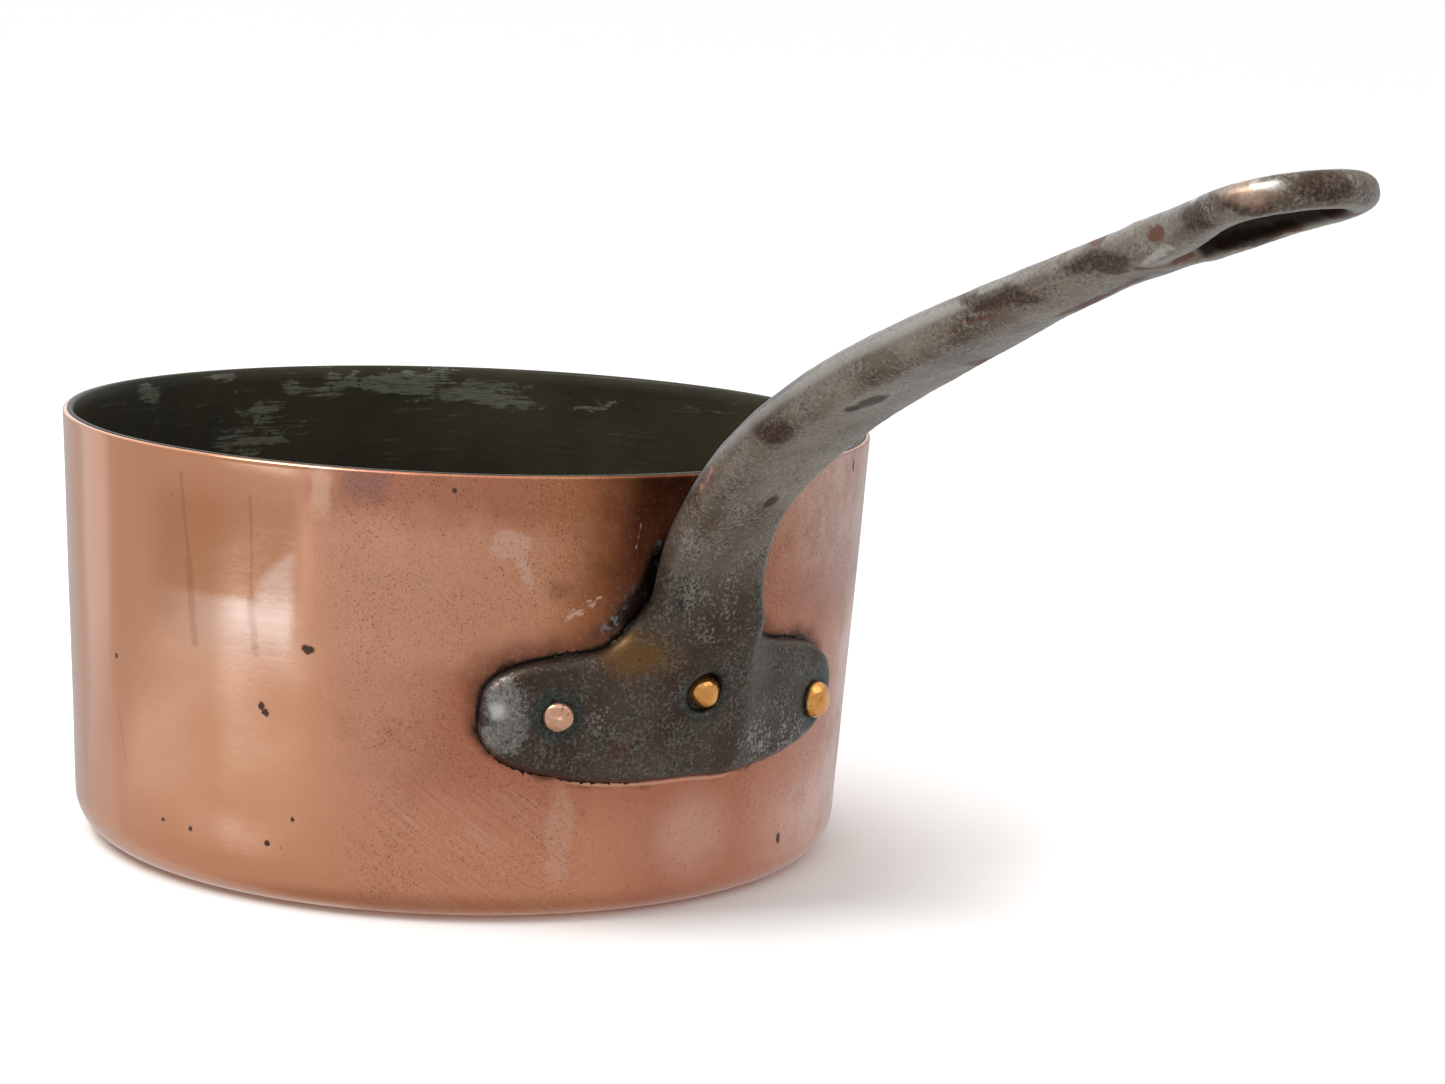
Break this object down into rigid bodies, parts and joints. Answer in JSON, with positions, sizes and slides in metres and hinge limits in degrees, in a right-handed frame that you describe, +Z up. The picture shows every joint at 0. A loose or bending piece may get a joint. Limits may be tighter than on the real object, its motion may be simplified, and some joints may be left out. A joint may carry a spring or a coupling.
{
  "type": "copper saucepan",
  "caption": "Low round copper saucepan, tinned inside, with a long riveted cast-iron handle that ends in a teardrop hanging eye.",
  "frame": {"origin": "centre of the flat underside, on the surface that the pan stands on", "axes": "+Z up along the axis of the vessel; +X towards the handle; the object is symmetric about the XZ plane apart from the hand-set rivets and the flange's upper corners"},
  "size_m": [0.3953, 0.2, 0.1879],
  "materials": {
    "copper": "worn polished copper, hazy, with dark pits and stains",
    "tin": "old wiped tin, tarnished nearly black",
    "iron": "old cast iron, worn grey-brown, with rust spots",
    "rivet_pink": "hammered copper",
    "rivet_gold": "hammered copper with a golden tarnish"
  },
  "bodies": {
    "root": {"pan_body": "copper", "tin_lining": "tin", "handle": "iron", "rivet_left": "rivet_pink", "rivet_middle": "rivet_gold", "rivet_right": "rivet_gold"}
  },
  "joints": []
}
